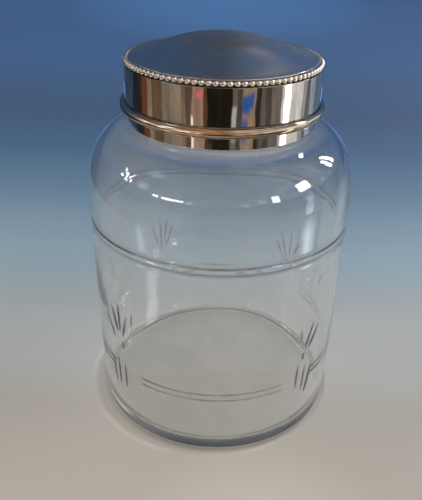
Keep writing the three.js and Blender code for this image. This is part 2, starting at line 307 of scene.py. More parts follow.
# the sprays: azimuth, then tip and root of each stroke (mm along the wall, height) and its width
SPRAYS = [
    (43.5, [
        ((-8.6, 52.5), (-3.8, 44.5), 1.1),
        ((-3.4, 57.0), (-3.0, 46.0), 1.3),
        ((4.2, 57.6), (-0.4, 43.6), 1.5),
        ((7.9, 54.0), (1.4, 42.4), 1.5),
        ((-0.8, 42.4), (-0.9, 38.6), 1.9),
        ((-3.4, 40.0), (-3.5, 23.0), 1.3),
        ((1.2, 36.6), (0.4, 20.5), 1.2),
        ((5.9, 35.0), (2.9, 18.2), 2.0),
    ]),
    (135.6, [
        ((9.9, 50.8), (2.3, 39.2), 1.3),
        ((6.7, 56.4), (1.0, 40.4), 1.4),
        ((-0.8, 59.3), (-0.6, 41.4), 1.4),
        ((-7.5, 54.2), (-2.7, 42.6), 1.2),
        ((-1.4, 41.0), (-2.0, 36.2), 1.6),
    ]),
    (214.7, [
        ((6.9, 59.2), (2.5, 43.8), 1.1),
        ((0.5, 62.0), (1.1, 39.8), 1.4),
        ((-4.4, 60.4), (-1.1, 45.8), 1.3),
        ((-8.4, 56.8), (-1.3, 42.6), 1.3),
    ]),
    (313.5, [
        ((-10.9, 54.2), (-3.8, 43.4), 1.3),
        ((-6.1, 60.0), (-1.3, 47.4), 1.5),
        ((-0.7, 63.2), (-0.2, 47.8), 1.5),
        ((4.7, 59.0), (1.4, 46.2), 1.4),
        ((7.8, 62.0), (7.0, 53.4), 1.0),
        ((1.5, 44.0), (1.2, 39.6), 1.9),
        ((-7.6, 33.4), (-5.6, 17.8), 1.4),
        ((-3.0, 36.0), (-2.4, 18.8), 1.4),
        ((1.8, 33.6), (1.9, 19.2), 1.4),
    ]),
]


def cut_depth(az, z, r):
    """Depth (mm) of the cut decoration at angle az (radians) and height z."""
    d = np.zeros_like(z)

    def groove(dist, half, depth):
        return np.clip(1 - np.abs(dist) / half, 0, 1) * depth

    for zl in UPPER:
        d = np.maximum(d, groove(z - zl, 0.6, 0.34))
    deg = np.degrees(az) % 360.0
    for c, half_deg, lift in ARCS:
        gap = np.abs((deg - c + 180.0) % 360.0 - 180.0)
        fade = np.clip((half_deg - gap) / 3.0, 0, 1) ** 0.6
        for zl in LOWER:
            d = np.maximum(d, groove(z - zl - lift, 0.58, 0.34) * fade)
    for c, strokes in SPRAYS:
        s = np.radians((deg - c + 180.0) % 360.0 - 180.0) * r
        bold = 1.3 if 130 < c < 140 else 1.0
        for (s0, z0), (s1, z1), width in strokes:
            width = width * bold
            ds, dz = s1 - s0, z1 - z0
            ln = math.hypot(ds, dz)
            u = ((s - s0) * ds + (z - z0) * dz) / ln / ln
            v = ((s - s0) * dz - (z - z0) * ds) / ln
            inside = (u > 0) & (u < 1)
            uu = np.clip(u, 1e-4, 1 - 1e-4)
            w = (1 - np.abs(2 * uu**1.25 - 1) ** 2.6) * width / 2
            d = np.maximum(d, np.where(inside, np.clip(1 - np.abs(v) / np.maximum(w, 1e-3), 0, 1) * 0.62 * w, 0))
        q = (s / 5.2) ** 2 + ((z - 77.8) / 5.0) ** 2
        d = np.maximum(d, np.clip(1 - q, 0, 1) * 0.36)
    return d


outer = curve_through(
    [(52.0, 0.9), (52.25, 6.0), (52.9, 24.0), (53.3, 42.0), (53.6, 64.0), (53.88, 86.4), (53.9, 89.1), (53.75, 97.0), (53.35, 103.5),
     (52.6, 109.3), (51.2, 114.4), (49.0, 118.6), (46.0, 122.0), (42.6, 124.6), (39.8, 125.9), (37.4, 126.45), (35.6, 126.85), (34.65, 127.6), (34.4, 128.8)],
    None,
)
inner = curve_through(
    [(31.6, 127.4), (32.1, 125.2), (34.0, 123.7), (37.6, 122.8), (41.4, 121.4), (44.4, 119.1), (47.0, 115.9), (48.8, 112.0), (50.1, 107.2),
     (50.8, 100.0), (51.1, 88.0), (50.7, 60.0), (50.2, 30.0), (49.95, 18.0), (49.8, 10.0), (49.5, 6.2), (49.1, 4.6), (48.4, 3.6), (47.4, 2.95), (46.2, 2.55), (44.6, 2.4)],
    None,
)


outer[:, 0] = np.minimum(outer[:, 0], 53.9)


def resample(path, step_at):
    """Walks along the path with a step (mm) that depends on the height."""
    s = np.concatenate([[0], np.cumsum(np.linalg.norm(np.diff(path, axis=0), axis=1))])
    out, t = [], 0.0
    while t < s[-1]:
        p = (np.interp(t, s, path[:, 0]), np.interp(t, s, path[:, 1]))
        out.append(p)
        t += step_at(p[1])
    out.append(tuple(path[-1]))
    return out


def outer_step(z):
    if 26.5 < z < 32.0 or 85.8 < z < 89.7:
        return 0.15
    if 15.8 < z < 63.2:
        return 0.44
    if 72.4 < z < 83.2:
        return 0.5
    if z < 3.0:
        return 0.4
    return 1.4


foot = [(r, 0.0) for r in (6, 14, 22, 30, 38, 44, 48, 50.3, 51.0)]
foot += [(51.2 + 0.8 * math.sin(rad(a)), 0.8 - 0.8 * math.cos(rad(a))) for a in range(9, 90, 9)]
rim = [(34.4, 130.5), (34.4, 133.5), (34.4, 136.5), (34.38, 137.5)]
rim += [(33.0 + 1.4 * math.cos(rad(a)), 137.6 + 1.3 * math.sin(rad(a))) for a in range(0, 181, 12)]
rim += [(31.6, 136.5), (31.6, 133.5), (31.6, 130.5)]
floor_in = [(r, 2.4) for r in (43.5, 41, 37, 30, 22, 14, 6)]
jar_profile = (
    [(0, 0)]
    + foot
    + resample(outer, outer_step)
    + rim
    + resample(inner, lambda z: 0.45 if z < 7 else 0.9 if z < 13 or 121 < z else 2.4)
    + floor_in
    + [(0, 2.4)]
)

cols = []
HALF = 12.6
for i, (c, _) in enumerate(SPRAYS):
    after = SPRAYS[(i + 1) % 4][0] + (360 if i == 3 else 0)
    cols += list(np.linspace(c - HALF, c + HALF, 120, endpoint=False))
    cols += list(np.linspace(c + HALF, after - HALF, 56, endpoint=False))
cols = np.radians(np.array(sorted(x % 360 for x in cols)))

INNER_WAVE = [(2, 0.055, 0.3, 0.010), (3, 0.05, 1.7, -0.014), (5, 0.035, 4.1, 0.021), (7, 0.02, 2.2, 0.033)]


def jar_radial(az, z, r):
    """Cuts on the outside; a slight unevenness of blown glass on the inside."""
    out = np.zeros_like(r)
    outside = (z > 1.6) & (z < 103) & (r > 51.9)
    out = np.where(outside, -cut_depth(az, z, r), out)
    n_out = len(foot) + len(resample(outer, outer_step))
    is_inner = np.zeros_like(r, bool)
    is_inner[n_out + len(rim) :] = True
    wave = sum(a * np.sin(k * az + p + q * z * 2 * math.pi) for k, a, p, q in INNER_WAVE)
    fade = np.clip((z - 9) / 10, 0, 1) * np.clip((122 - z) / 10, 0, 1)
    return np.where(is_inner, wave * fade * 1.6, out)


t = Tree("clear_cut_glass")
v = t.coords()
seeds = t.node("ShaderNodeTexVoronoi", _feature="F1", Vector=v, Scale=260.0).outputs["Distance"]
streak = t.noise(t.scaled(v, 95.0, 95.0, 14.0), 1.0, 3.0, 0.5)
smear = t.noise(v, 38.0, 5.0, 0.65)
cut = t.node("ShaderNodeAttribute", _attribute_name="cut").outputs["Fac"]
tint = t.mix(t.span(streak, 0.3, 0.7), rgb(0.972, 0.982, 0.976), rgb(0.985, 0.990, 0.986))
# the wheel-cut grooves are painted a darker brown-grey, painted shade for their dark look, broken a little by noise
groove_shade = t.math("MULTIPLY", cut, t.span(t.noise(v, 150.0, 3.0, 0.6), 0.3, 0.7, 0.45, 0.95))
tint = t.mix(groove_shade, tint, rgb(0.20, 0.175, 0.15))
rough = t.math("ADD", t.span(smear, 0.52, 0.74, 0.0, 0.02), t.math("MULTIPLY", cut, 0.16))
rough = t.math("ADD", rough, t.span(seeds, 0.0, 0.05, 0.05, 0.0))
height = t.math("ADD", t.math("MULTIPLY", streak, 0.7), t.math("MULTIPLY", smear, 0.3))
bump = t.node("ShaderNodeBump", Strength=0.12, Distance=0.00012, Height=height)
p = t.node("ShaderNodeBsdfPrincipled", Roughness=rough, IOR=1.51)
# a thin film of dust and lime on the shoulder below the collar, and a trace of it everywhere
up_z = t.node("ShaderNodeSeparateXYZ", Vector=v).outputs[2]
film = t.math("MULTIPLY", t.span(up_z, 0.1246, 0.1264, 0.0, 0.30), t.span(smear, 0.3, 0.7, 0.7, 1.1))
front = t.node("ShaderNodeSeparateXYZ", Vector=v).outputs[1]
film = t.math("MULTIPLY", film, t.span(front, -0.030, -0.006, 1.0, 0.3))
body_film = t.math("MULTIPLY", t.span(smear, 0.35, 0.75, 0.55, 1.5), t.span(up_z, 0.090, 0.116, 0.082, 0.016))
film = t.math("ADD", film, body_film)
film = t.math("ADD", film, t.math("MULTIPLY", t.span(up_z, 0.046, 0.062, 0.0, 0.028), t.span(up_z, 0.090, 0.106, 1.0, 0.0)))
left_haze = t.node("ShaderNodeSeparateXYZ", Vector=v).outputs[0]
film = t.math("ADD", film, t.math("MULTIPLY", t.span(left_haze, -0.052, -0.006, 0.075, 0.0), t.span(up_z, 0.094, 0.108)))
# painted shade: the solid foot's tint is painted darker and bluer in front, standing in for its deeper look where the
# light runs the longest way through it
flat = t.node("ShaderNodeSeparateXYZ", Vector=v)
around = t.math("ADD", t.math("MULTIPLY", flat.outputs[0], flat.outputs[0]), t.math("MULTIPLY", flat.outputs[1], flat.outputs[1]))
foot_painted_shade = t.math("MULTIPLY", t.span(around, 0.00253, 0.00256), t.span(up_z, 0.0038, 0.0052, 1.0, 0.0))
foot_painted_shade = t.math("MULTIPLY", foot_painted_shade, t.span(front, -0.024, -0.012, 1.0, 0.0))
foot_painted_shade = t.math("MULTIPLY", foot_painted_shade, t.span(flat.outputs[0], -0.040, -0.016, 0.0, 1.0))
tint = t.mix(foot_painted_shade, tint, rgb(0.20, 0.245, 0.30))
# painted highlight: at the left the foot's tint and haze are painted with a warm bright streak, standing in for light
# it gathers
foot_painted_gleam = t.math("MULTIPLY", t.span(flat.outputs[0], -0.0505, -0.0470), t.span(flat.outputs[0], -0.0400, -0.0330, 1.0, 0.0))
foot_painted_gleam = t.math("MULTIPLY", foot_painted_gleam, t.math("MULTIPLY", t.span(up_z, 0.0026, 0.0036), t.span(up_z, 0.0048, 0.0062, 1.0, 0.0)))
foot_painted_gleam = t.math("MULTIPLY", t.math("MULTIPLY", foot_painted_gleam, t.span(around, 0.00253, 0.00256)), t.span(front, -0.010, -0.004, 1.0, 0.0))
tint = t.mix(foot_painted_gleam, tint, rgb(1.0, 0.92, 0.76))
stain = t.math("MULTIPLY", t.span(up_z, 0.0022, 0.0030, 1.0, 0.0), t.span(t.noise(v, 52.0, 4.0, 0.62), 0.46, 0.70, 0.0, 0.5))
tint = t.mix(stain, tint, rgb(0.80, 0.77, 0.72))
film = t.math("ADD", film, t.math("MULTIPLY", stain, 0.03))
# the painted highlight also adds haze so the warm streak shows brighter
film = t.math("ADD", film, t.math("MULTIPLY", foot_painted_gleam, 0.75))
t.put(p, "Base__Color", tint)
t.put(p, "Transmission__Weight", t.math("SUBTRACT", 1.0, film))
t.put(p, "Normal", bump.outputs[0])
glass_mat = t.finish(p.outputs[0])
deep = t.node("ShaderNodeVolumeAbsorption", Color=rgb(0.62, 0.68, 0.70), Density=22.0)
t.nt.links.new(deep.outputs[0], t.out.inputs["Volume"])

jv, jf = revolve(jar_profile, cols, jar_radial)
jar = make_mesh("jar_glass", jv, jf, glass_mat, "jar", "glass_jar")
ring_n = len(jar_profile) - 2
az_all = np.tile(cols, ring_n)
zz = np.array([p_[1] for p_ in jar_profile[1:-1]]).repeat(len(cols))
rr = np.array([p_[0] for p_ in jar_profile[1:-1]]).repeat(len(cols))
cutv = np.where((zz > 1.6) & (zz < 72) & (rr > 51.9), cut_depth(az_all, zz, rr), 0)
cutv += np.where((zz > 84) & (zz < 92) & (rr > 51.9), cut_depth(az_all, zz, rr), 0)
attr = jar.data.attributes.new("cut", "FLOAT", "POINT")
attr.data.foreach_set("value", np.concatenate([np.clip(cutv / 0.15, 0, 1), [0, 0]]).astype(np.float32))

# ------------------------------------------------------------------ silver pieces

AZ = np.linspace(0, 2 * math.pi, 288, endpoint=False)


def dents(amount, seed):
    rng = np.random.default_rng(seed)
    terms = [(int(k), rng.uniform(0.4, 1.0), rng.uniform(0, 6.28), rng.uniform(-0.5, 0.5)) for k in (2, 3, 5, 8, 11, 17, 23)]

    def f(az, z, r):
        return sum(amount * a / (1 + 0.18 * k) * np.sin(k * az + p + q * z) for k, a, p, q in terms)

    return f


BRIGHT = (0.93, 0.915, 0.89)
WARM = (0.83, 0.70, 0.56)

collar_mat = silver("silver_collar", BRIGHT, WARM, (0.04, 0.09), 0.35)
# the wire's underside, the lid wall's lower and upper edges and the beads' lower side get painted shade by height
wire_mat = silver("silver_wire", (0.84, 0.69, 0.55), (0.64, 0.44, 0.30), (0.08, 0.15), 0.6, painted_shade_heights=((133.9, 132.9),), painted_dim_stretch=(-2, 13, 26, 31, 0.6))
wall_mat = silver("silver_wall", BRIGHT, WARM, (0.03, 0.075), 0.22, painted_shade_heights=((136.4, 135.9), (149.35, 149.55)))
top_mat = silver("silver_top", (0.90, 0.90, 0.90), (0.78, 0.73, 0.68), (0.15, 0.26), 0.35, 0.02, scratch=0.12)
bead_mat = silver("silver_beads", (0.95, 0.92, 0.87), (0.80, 0.64, 0.48), (0.06, 0.13), 0.45, painted_shade_heights=((149.9, 149.6),))

loop = rounded_loop(
    [(36.3, 127.2, 0.15), (37.1, 127.2, 0.3), (37.1, 135.2, 0.08), (36.75, 135.5, 0.08), (36.75, 141.7, 0.3), (36.1, 141.7, 0.3),
     (36.1, 139.9, 0.15), (32.2, 139.9, 0.33), (32.2, 139.2, 0.33), (36.3, 139.2, 0.05)]
)
vv, ff = revolve(loop, AZ, dents(0.008, 3))
make_mesh("collar", vv, ff, collar_mat, "jar", "collar_band")

WIRE_R, WIRE_Z, WIRE_A = 38.5, 133.8, 1.67
th = np.linspace(-math.pi, math.pi, 40, endpoint=False)
loop = np.stack([WIRE_R + WIRE_A * np.cos(th), WIRE_Z + WIRE_A * np.sin(th)], 1)
vv, ff = revolve(loop, AZ, dents(0.012, 5))
make_mesh("rim_wire", vv, ff, wire_mat, "jar", "seat_wire")

loop = rounded_loop(
    [(37.15, 135.7, 0.2), (38.0, 135.7, 0.28), (38.0, 149.55, 0.14), (34.65, 149.55, 0.1), (34.65, 148.5, 0.1), (37.15, 148.5, 0.2)],
    step=1.0,
)
vv, ff = revolve(loop, AZ, dents(0.03, 11))
make_mesh("lid_side", vv, ff, wall_mat, "lid", "lid_wall")

APEX, EDGE_Z, CURVE_R, CURVE_K, TOP_T = 159.3, 151.7, 38.1, 1.5, 0.8


def dome(r):
    """Convex in the middle, running out flat at the rim."""
    return EDGE_Z + (APEX - EDGE_Z) * math.cos(math.pi / 2 * (r / CURVE_R) ** CURVE_K) ** 2


prof = [(r, dome(r) - TOP_T) for r in np.linspace(0, 34.2, 30)]
prof += [(34.55, dome(34.6) - TOP_T - 0.12), (34.7, dome(34.7) - TOP_T - 0.45), (34.7, 149.9), (34.8, 149.65), (35.3, 149.65), (35.45, 149.8)]
prof += [(35.46, 151.05), (35.55, 151.3), (35.75, 151.44), (36.0, 151.55), (36.12, 151.66), (36.08, 151.76), (35.9, dome(35.9) - 0.02)]
prof += [(r, dome(r)) for r in np.linspace(35.7, 0, 64)]
vv, ff = revolve(prof, AZ)
x, y, zt = vv[:, 0], vv[:, 1], vv[:, 2]
rt = np.hypot(x, y)
# hammering of the sheet: very low hollows
hollow = 0.03 * np.sin(x * 0.21 + 0.4) * np.cos(y * 0.17 + 1.2) + 0.016 * np.sin(x * 0.09 - y * 0.31 + 2.0) - 0.03
vv[:, 2] += hollow * np.clip(1 - (rt / 35) ** 4, 0, 1)
make_mesh("lid_dome", vv, ff, top_mat, "lid", "lid_top")

# beaded border: one continuous wire that swells into a bead 96 times
BEADS, BEAD_RING, BEAD_Z, BEAD_R, LINK = 96, 37.03, 150.68, 1.1, 0.34
per, sides = 18, 20
pitch = 2 * math.pi * BEAD_RING / BEADS
st = []
for i in range(BEADS):
    for k in range(per):
        tt = (k + 0.5) / per - 0.5
        d = abs(tt) * pitch
        a = math.sqrt(max(BEAD_R**2 - d * d, 0))
        a = (a**6 + LINK**6) ** (1 / 6)
        st.append((2 * math.pi * (i + tt) / BEADS, a))
verts = []
for phi, a in st:
    for k in range(sides):
        ang = 2 * math.pi * k / sides
        r = BEAD_RING + a * math.cos(ang)
        verts.append((r * math.sin(phi), -r * math.cos(phi), BEAD_Z + a * math.sin(ang)))
n = len(st)
faces = []
for i in range(n):
    for k in range(sides):
        a_, b_ = i * sides + k, i * sides + (k + 1) % sides
        c_, d_ = ((i + 1) % n) * sides + k, ((i + 1) % n) * sides + (k + 1) % sides
        faces.append([a_, c_, d_, b_])
make_mesh("bead_border", verts, faces, bead_mat, "lid", "bead_wire")

# plaster in the neck keeps its own solid and gets a plaster surface
t = Tree("neck_plaster")
v = t.coords()
grain = t.noise(v, 900.0, 4.0, 0.7)
stain = t.noise(v, 60.0, 3.0, 0.6)
b = t.node("ShaderNodeBump", Strength=0.5, Distance=0.0001, Height=grain)
p = t.node("ShaderNodeBsdfPrincipled", Roughness=t.span(grain, 0.3, 0.7, 0.8, 0.95))
t.put(p, "Base__Color", t.mix(t.span(stain, 0.35, 0.7), rgb(0.74, 0.71, 0.64), rgb(0.55, 0.50, 0.42)))
t.put(p, "Normal", b.outputs[0])
plaster = t.finish(p.outputs[0])
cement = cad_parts["cement_ring"]
cement.data.materials.clear()
cement.data.materials.append(plaster)

# ------------------------------------------------------------------ stage: floor, lights, cards

bpy.ops.mesh.primitive_circle_add(vertices=96, radius=5.0, fill_type="NGON", location=(0, 0, -0.0003))
ground = bpy.context.object
ground.name = "stage_floor"
t = Tree("stage_floor")
v = t.coords()
sep = t.node("ShaderNodeSeparateXYZ", Vector=v)
gx, gy = sep.outputs[0], sep.outputs[1]
soft = t.noise(v, 9.0, 5.0, 0.62)
far = t.math("ADD", gy, t.math("MULTIPLY", t.math("SUBTRACT", soft, 0.5), 0.022))
# floor colour by distance: pale and warm in front, a blue sweep behind; the stops also carry painted light, brighter
# towards the front
ramp = t.node("ShaderNodeValToRGB", Fac=t.span(far, -0.1, 1.1))
stops = [
    (-0.100, (0.615, 0.540, 0.475)),
    (-0.030, (0.500, 0.466, 0.412)),
    (0.004, (0.520, 0.536, 0.530)),
    (0.036, (0.525, 0.550, 0.552)),
    (0.062, (0.450, 0.510, 0.535)),
    (0.110, (0.333, 0.470, 0.575)),
    (0.210, (0.140, 0.268, 0.401)),
    (0.300, (0.058, 0.158, 0.305)),
    (0.400, (0.038, 0.110, 0.240)),
    (0.640, (0.042, 0.142, 0.365)),
    (1.100, (0.056, 0.162, 0.405)),
]
els = ramp.color_ramp.elements
els[0].position, els[0].color = 0.0, rgb(*stops[0][1])
els[1].position, els[1].color = 1.0, rgb(*stops[-1][1])
for pos, c in stops[1:-1]:
    e = els.new((pos + 0.1) / 1.2)
    e.color = rgb(*c)
# painted light: a brighter blue patch far behind
qx = t.math("DIVIDE", gx, 0.24)
qy = t.math("DIVIDE", t.math("SUBTRACT", gy, 1.2), 0.36)
painted_far_light = t.span(t.math("ADD", t.math("MULTIPLY", qx, qx), t.math("MULTIPLY", qy, qy)), 0.0, 1.8, 0.5, 0.0)
colour = t.mix(painted_far_light, ramp.outputs["Color"], rgb(0.10, 0.36, 0.86))
grain = t.noise(v, 320.0, 3.0, 0.6)
colour = t.mix(t.span(grain, 0.3, 0.7, 0.0, 0.06), colour, rgb(0.45, 0.40, 0.36))
# painted light and shade round the glass foot: a painted dim brownish zone beside it, a painted contact shadow at its
# edge, and a thin painted bright line round that, standing in for light the foot gathers
reach = t.node("ShaderNodeVectorMath", _operation="LENGTH", i0=v).outputs["Value"]
shifted = t.node("ShaderNodeMapping", Vector=v, Location=(0.0036, 0.0014, 0.0)).outputs[0]
ring = t.node("ShaderNodeVectorMath", _operation="LENGTH", i0=shifted).outputs["Value"]
ring = t.math("ADD", ring, t.math("MULTIPLY", t.math("SUBTRACT", t.noise(v, 60.0, 2.0), 0.5), 0.0012))
outside = t.span(reach, 0.0500, 0.0522)
painted_dim_zone = t.math("MULTIPLY", outside, t.span(ring, 0.0520, 0.0546, 1.0, 0.0))
painted_contact_shadow = t.math("MULTIPLY", t.math("MULTIPLY", outside, t.span(reach, 0.0522, 0.0545, 0.75, 0.0)), t.span(gx, -0.046, -0.026, 0.45, 1.0))
painted_caustic_line = t.math("MULTIPLY", t.span(ring, 0.0536, 0.0546), t.span(ring, 0.0546, 0.0566, 1.0, 0.0))
painted_caustic_line = t.math("MULTIPLY", painted_caustic_line, t.span(t.noise(v, 24.0, 2.0), 0.35, 0.6))
# painted shadow under the jar: the floor is painted darker and browner where the glass keeps some of the light away,
# most of all along the far side of the foot, with blotchy darker patches under the middle
colour = t.mix(t.span(reach, 0.0485, 0.0500, 0.48, 0.0), colour, rgb(0.180, 0.135, 0.075))
blotted = t.math("MULTIPLY", t.span(t.noise(v, 34.0, 4.0, 0.62), 0.46, 0.62, 0.0, 0.34), t.span(reach, 0.030, 0.046, 1.0, 0.0))
colour = t.mix(blotted, colour, rgb(0.19, 0.165, 0.13))
edge_shade = t.math("MULTIPLY", t.math("MULTIPLY", t.span(reach, 0.036, 0.0465), t.span(reach, 0.0485, 0.0500, 1.0, 0.0)), t.span(gy, -0.012, 0.030, 0.0, 0.42))
colour = t.mix(edge_shade, colour, rgb(0.13, 0.105, 0.075))
# the painted brownish shade beside the foot, the painted contact shadow and the painted bright line
colour = t.mix(t.math("MULTIPLY", painted_dim_zone, 0.34), colour, rgb(0.22, 0.165, 0.115))
colour = t.mix(painted_contact_shadow, colour, rgb(0.16, 0.145, 0.125))
colour = t.mix(t.math("MULTIPLY", t.math("MULTIPLY", painted_caustic_line, outside), 0.34), colour, rgb(0.86, 0.84, 0.80))
# painted light: the floor just in front of the foot is painted paler and warmer
painted_front_light = t.node("ShaderNodeVectorMath", _operation="DISTANCE", i0=v, i1=(0.020, -0.100, 0.0)).outputs["Value"]
painted_front_light = t.math("MULTIPLY", t.span(painted_front_light, 0.012, 0.054, 0.62, 0.0), outside)
colour = t.mix(painted_front_light, colour, rgb(0.80, 0.715, 0.63))
p = t.node("ShaderNodeBsdfPrincipled", Roughness=0.75)
t.put(p, "Base__Color", colour)
ground.data.materials.append(t.finish(p.outputs[0]))

world = bpy.data.worlds.new("world")
bpy.context.scene.world = world
world.use_nodes = True
wt = world.node_tree
bg = wt.nodes["Background"]
coord = wt.nodes.new("ShaderNodeTexCoord")
split = wt.nodes.new("ShaderNodeSeparateXYZ")
wt.links.new(coord.outputs["Generated"], split.inputs[0])


def sky_ramp(stops):
    lift = wt.nodes.new("ShaderNodeMapRange")
    wt.links.new(split.outputs[2], lift.inputs["Value"])
    ramp = wt.nodes.new("ShaderNodeValToRGB")
    wt.links.new(lift.outputs[0], ramp.inputs["Fac"])
    els = ramp.color_ramp.elements
    els[0].position, els[0].color = stops[0][0], rgb(*stops[0][1])
    els[1].position, els[1].color = stops[-1][0], rgb(*stops[-1][1])
    for pos, c in stops[1:-1]:
        els.new(pos).color = rgb(*c)
    return ramp.outputs["Color"]


# behind the jar the blue sweep goes on upwards and fades; on the viewer's side is a dim room
back = sky_ramp([(0.0, (0.065, 0.150, 0.330)), (0.16, (0.060, 0.125, 0.260)), (0.36, (0.042, 0.062, 0.100)), (1.0, (0.045, 0.048, 0.055))])
front = sky_ramp([(0.0, (0.060, 0.052, 0.045)), (0.30, (0.070, 0.060, 0.050)), (1.0, (0.045, 0.048, 0.055))])
side = wt.nodes.new("ShaderNodeMapRange")
wt.links.new(split.outputs[1], side.inputs["Value"])
side.inputs["From Min"].default_value, side.inputs["From Max"].default_value = -0.35, 0.25
blend = wt.nodes.new("ShaderNodeMix")
blend.data_type = "RGBA"
wt.links.new(side.outputs[0], blend.inputs[0])
wt.links.new(front, blend.inputs[6])
wt.links.new(back, blend.inputs[7])
wt.links.new(blend.outputs[2], bg.inputs["Color"])
bg.inputs["Strength"].default_value = 1.0


def from_axis(az, el, dist, z0=0.12):
    """A point seen from the jar's shoulder at azimuth az (from -Y towards +X) and elevation el."""
    return Vector((math.sin(rad(az)) * math.cos(rad(el)) * dist, -math.cos(rad(az)) * math.cos(rad(el)) * dist, z0 + math.sin(rad(el)) * dist))


def window(name, az, el, dist, w, h, radiance, colour=(1, 1, 1), glossy=True, z0=0.12, turn=0.0):
    ld = bpy.data.lights.new(name, "AREA")
    ld.shape, ld.size, ld.size_y = "RECTANGLE", w, h
    ld.energy = radiance * math.pi * w * h
    ld.color = colour
    ob = bpy.data.objects.new(name, ld)
    bpy.context.scene.collection.objects.link(ob)
    ob.location = from_axis(az, el, dist, z0)
    ob.rotation_mode = "QUATERNION"
    face = (Vector((0, 0, z0)) - ob.location).to_track_quat("-Z", "Y")
    ob.rotation_quaternion = face @ Matrix.Rotation(rad(turn), 3, "Z").to_quaternion()
    ob.visible_camera = False
    # the small windows only glint; the large soft lamps only light
    ob.visible_glossy = ob.visible_transmission = glossy
    ob.visible_diffuse = not glossy
    return ob


window("light_right", 80.5, 21.4, 1.4, 0.30, 0.32, 70.0, (1.0, 0.99, 0.975))
window("light_front_right", 50.5, 18.8, 1.4, 0.17, 0.19, 60.0, (0.97, 1.0, 1.0))
window("light_back_right_a", 127.4, 20.7, 1.4, 0.09, 0.40, 60.0)
window("light_back_right_b", 120.6, 20.0, 1.4, 0.09, 0.36, 60.0)
window("light_left_a", -55.5, 13.4, 1.4, 0.14, 0.045, 45.0, (1.0, 0.97, 0.93))
window("light_left_b", -40.0, 13.3, 1.4, 0.44, 0.06, 60.0, (1.0, 0.97, 0.93))
for k, (a, e, w, h, tn) in enumerate(
    [
        (-92, 20.7, 0.05, 0.22, 12), (-96.8, 16.9, 0.10, 0.09, 30), (-87.5, 23.6, 0.045, 0.22, -10), (-90, 14.2, 0.13, 0.05, 0),
        (-99.5, 25.7, 0.05, 0.13, 40), (-84.8, 17.1, 0.05, 0.10, 20), (-95.0, 23.2, 0.05, 0.10, -30),
    ]
):
    window(f"light_left_side_{k}", a, e, 1.4, w, h, 60.0, (1.0, 0.97, 0.92), turn=tn)
window("lamp_key", 75, 40, 3.2, 2.8, 2.4, 2.6, (1.0, 0.985, 0.96), glossy=False)
window("lamp_left", -65, 42, 3.2, 3.2, 2.8, 1.1, (1.0, 0.96, 0.90), glossy=False)
window("lamp_front", 8, 46, 3.2, 3.2, 2.4, 1.1, (1.0, 0.98, 0.95), glossy=False)
window("lamp_rear", -150, 45, 3.2, 2.4, 2.0, 0.9, (0.97, 0.99, 1.0), glossy=False)


# cards round the set: only mirror-like surfaces see them
def card(name, points, faces, mat):
    me = bpy.data.meshes.new(name)
    me.from_pydata(points, [], faces)
    ob = bpy.data.objects.new(name, me)
    bpy.context.scene.collection.objects.link(ob)
    me.materials.append(mat)
    ob.visible_camera = ob.visible_diffuse = ob.visible_transmission = False
    ob.visible_shadow = ob.visible_volume_scatter = False
    return ob


def band(name, a0, a1, radius, low, high, mat, rows=1):
    """Part of a cylinder (low, high are heights) or of a sphere (low, high are elevations, radius < 0)."""
    vs, fs = [], []
    n = max(1, int((a1 - a0) / 5))
    for j in range(n + 1):
        a = rad(a0 + (a1 - a0) * j / n)
        for k in range(rows + 1):
            q = low + (high - low) * k / rows
            if radius > 0:
                r, z = radius, q
            else:
                r, z = -radius * math.cos(rad(q)), 0.14 - radius * math.sin(rad(q))
            vs.append((r * math.sin(a), -r * math.cos(a), z))
    m = rows + 1
    for j in range(n):
        for k in range(rows):
            fs.append((j * m + k, (j + 1) * m + k, (j + 1) * m + k + 1, j * m + k + 1))
    return card(name, vs, fs, mat)


def emission(name, colour, strength=1.0):
    t = Tree(name)
    e = t.node("ShaderNodeEmission", Color=rgb(*colour), Strength=strength)
    return t.finish(e.outputs[0])


# the stripes that the lid's wall mirrors: azimuth where each starts and its colour; each holds until the next
STRIPES = [
    (-180, (0.05, 0.10, 0.18)),
    (-146, (0.03, 0.05, 0.09)),
    (-118, (0.014, 0.016, 0.022)),
    (-104, (0.028, 0.022, 0.018)),
    (-99, (0.12, 0.04, 0.02)),
    (-89, (0.22, 0.16, 0.12)),
    (-82, (0.11, 0.07, 0.035)),
    (-68, (0.17, 0.14, 0.10)),
    (-57, (0.24, 0.18, 0.13)),
    (-44, (0.18, 0.12, 0.08)),
    (-38, (0.09, 0.055, 0.04)),
    (-32, (0.30, 0.19, 0.13)),
    (-21, (0.075, 0.035, 0.018)),
    (-16, (0.013, 0.010, 0.007)),
    (9, (0.13, 0.10, 0.085)),
    (15, (0.07, 0.06, 0.05)),
    (20, (0.28, 0.19, 0.12)),
    (34, (0.026, 0.021, 0.018)),
    (40, (0.11, 0.09, 0.075)),
    (46, (0.055, 0.048, 0.042)),
    (53, (0.14, 0.12, 0.10)),
    (66, (0.48, 0.44, 0.41)),
    (69.5, (3.6, 3.75, 3.95)),
    (76.2, (0.62, 0.58, 0.55)),
    (97, (0.26, 0.26, 0.26)),
    (104, (0.11, 0.105, 0.11)),
    (111, (0.26, 0.31, 0.36)),
    (121, (0.10, 0.14, 0.20)),
    (140, (0.065, 0.12, 0.22)),
]
t = Tree("card_room")
v = t.coords()
sep = t.node("ShaderNodeSeparateXYZ", Vector=v)
neg_y = t.math("MULTIPLY", sep.outputs[1], -1.0)
ang = t.math("ARCTAN2", sep.outputs[0], neg_y)
wob = t.noise(t.scaled(v, 6.0, 6.0, 14.0), 1.0, 3.0, 0.6)
wob2 = t.noise(t.scaled(v, 40.0, 40.0, 60.0), 1.0, 2.0, 0.5)
turn = t.math("ADD", t.math("DIVIDE", ang, 2 * math.pi), 0.5)
